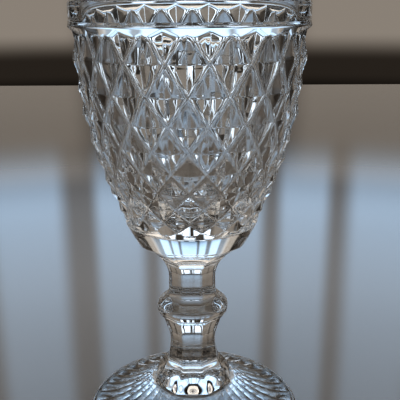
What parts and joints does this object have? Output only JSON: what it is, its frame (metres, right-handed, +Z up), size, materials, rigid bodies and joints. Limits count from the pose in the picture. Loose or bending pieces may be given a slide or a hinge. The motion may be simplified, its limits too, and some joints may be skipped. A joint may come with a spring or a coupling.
{
  "type": "goblet",
  "caption": "Clear pressed-glass goblet for drinks, with a diamond-patterned bowl, a panelled stem with a knop, a bell-shaped collar and a ribbed round foot that is hollow underneath.",
  "frame": {"origin": "centre of the circle that the foot stands on, at table level", "axes": "+Z up along the stem's axis, with the pictured side of the glass towards -Y"},
  "size_m": [0.0864, 0.0864, 0.165],
  "materials": {
    "clear_glass": "clear, fire-polished"
  },
  "bodies": {
    "root": {"bowl": "clear_glass", "stem": "clear_glass", "collar": "clear_glass", "foot": "clear_glass"}
  },
  "joints": []
}
